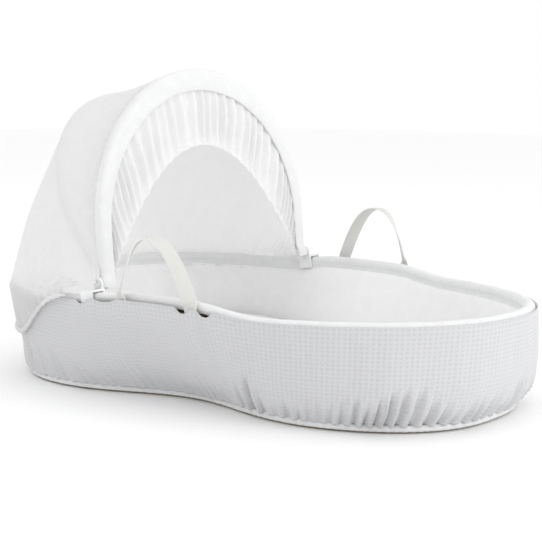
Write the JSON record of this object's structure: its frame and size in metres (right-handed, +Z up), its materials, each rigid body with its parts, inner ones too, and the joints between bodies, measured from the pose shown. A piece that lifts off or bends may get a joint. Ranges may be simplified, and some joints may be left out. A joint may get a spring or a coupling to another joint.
{
  "type": "moses basket",
  "caption": "Moses basket: woven basket in a gathered waffle skirt, with a mattress, strap handles and a folding hood on wire bows.",
  "frame": {"origin": "on the floor under the middle of the rim's length, on the centre line", "axes": "+X to the foot end, +Z up, the hood is at -X; the near handle is at -Y"},
  "size_m": [0.8611, 0.5646, 0.4772],
  "materials": {
    "wicker": "satin",
    "cane": "satin",
    "liner_cotton": "matte",
    "binding_cotton": "matte",
    "waffle_cotton": "matte",
    "canopy_cotton": "matte",
    "elastic": "matte",
    "foam": "matte",
    "mattress_cotton": "matte",
    "strap_leather": "satin",
    "steel": "satin",
    "clip_plastic": "matte",
    "bow_wire": "satin",
    "cap_plastic": "matte"
  },
  "bodies": {
    "root": {"base_panel": "wicker", "base_border": "wicker", "basket_wall": "wicker", "rim_hoop": "cane", "liner_wall": "liner_cotton", "liner_floor": "liner_cotton", "rim_binding": "binding_cotton", "waffle_skirt": "waffle_cotton", "hem_casing": "binding_cotton", "hem_elastic": "elastic", "handle_bar_near": "steel", "handle_bar_far": "steel", "bar_brackets": "cane", "hood_clip_near": "clip_plastic", "hood_clip_far": "clip_plastic", "pivot_pin_near": "steel", "pivot_pin_far": "steel", "pivot_washers": "steel", "pin_caps": "cap_plastic", "canopy_hem": "elastic"},
    "mattress": {"mattress_core": "foam", "mattress_cover": "mattress_cotton"},
    "near_handle": {"handle_near": "strap_leather", "strap_rivets_near": "steel"},
    "far_handle": {"handle_far": "strap_leather", "strap_rivets_far": "steel"},
    "hood_rear": {"rear_bow": "bow_wire", "canopy_back": "canopy_cotton"},
    "hood_front": {"front_bow": "bow_wire", "front_band": "canopy_cotton", "frill": "canopy_cotton", "canopy_front": "canopy_cotton"}
  },
  "joints": [
    {"name": "mattress_lift", "type": "slide", "parent": "root", "child": "mattress", "axis": [0, 0, 1], "range_m": [0, 0.11]},
    {"name": "near_handle_swing", "type": "hinge", "parent": "root", "child": "near_handle", "pos_m": [0.0075, -0.25763, 0.14107], "axis": [0.9987, 0.0512, 0], "range_deg": [0, 85]},
    {"name": "far_handle_swing", "type": "hinge", "parent": "root", "child": "far_handle", "pos_m": [0.0075, 0.25763, 0.14107], "axis": [-0.9987, 0.0512, 0], "range_deg": [0, 85]},
    {"name": "rear_bow_fold", "type": "hinge", "parent": "root", "child": "hood_rear", "pos_m": [-0.125, 0, 0.16631], "axis": [0, -1, 0], "range_deg": [0, 42], "deforming": ["canopy_back"]},
    {"name": "front_bow_fold", "type": "hinge", "parent": "hood_rear", "child": "hood_front", "pos_m": [-0.125, 0, 0.16631], "axis": [0, -1, 0], "range_deg": [0, 26], "deforming": ["canopy_front"]}
  ]
}
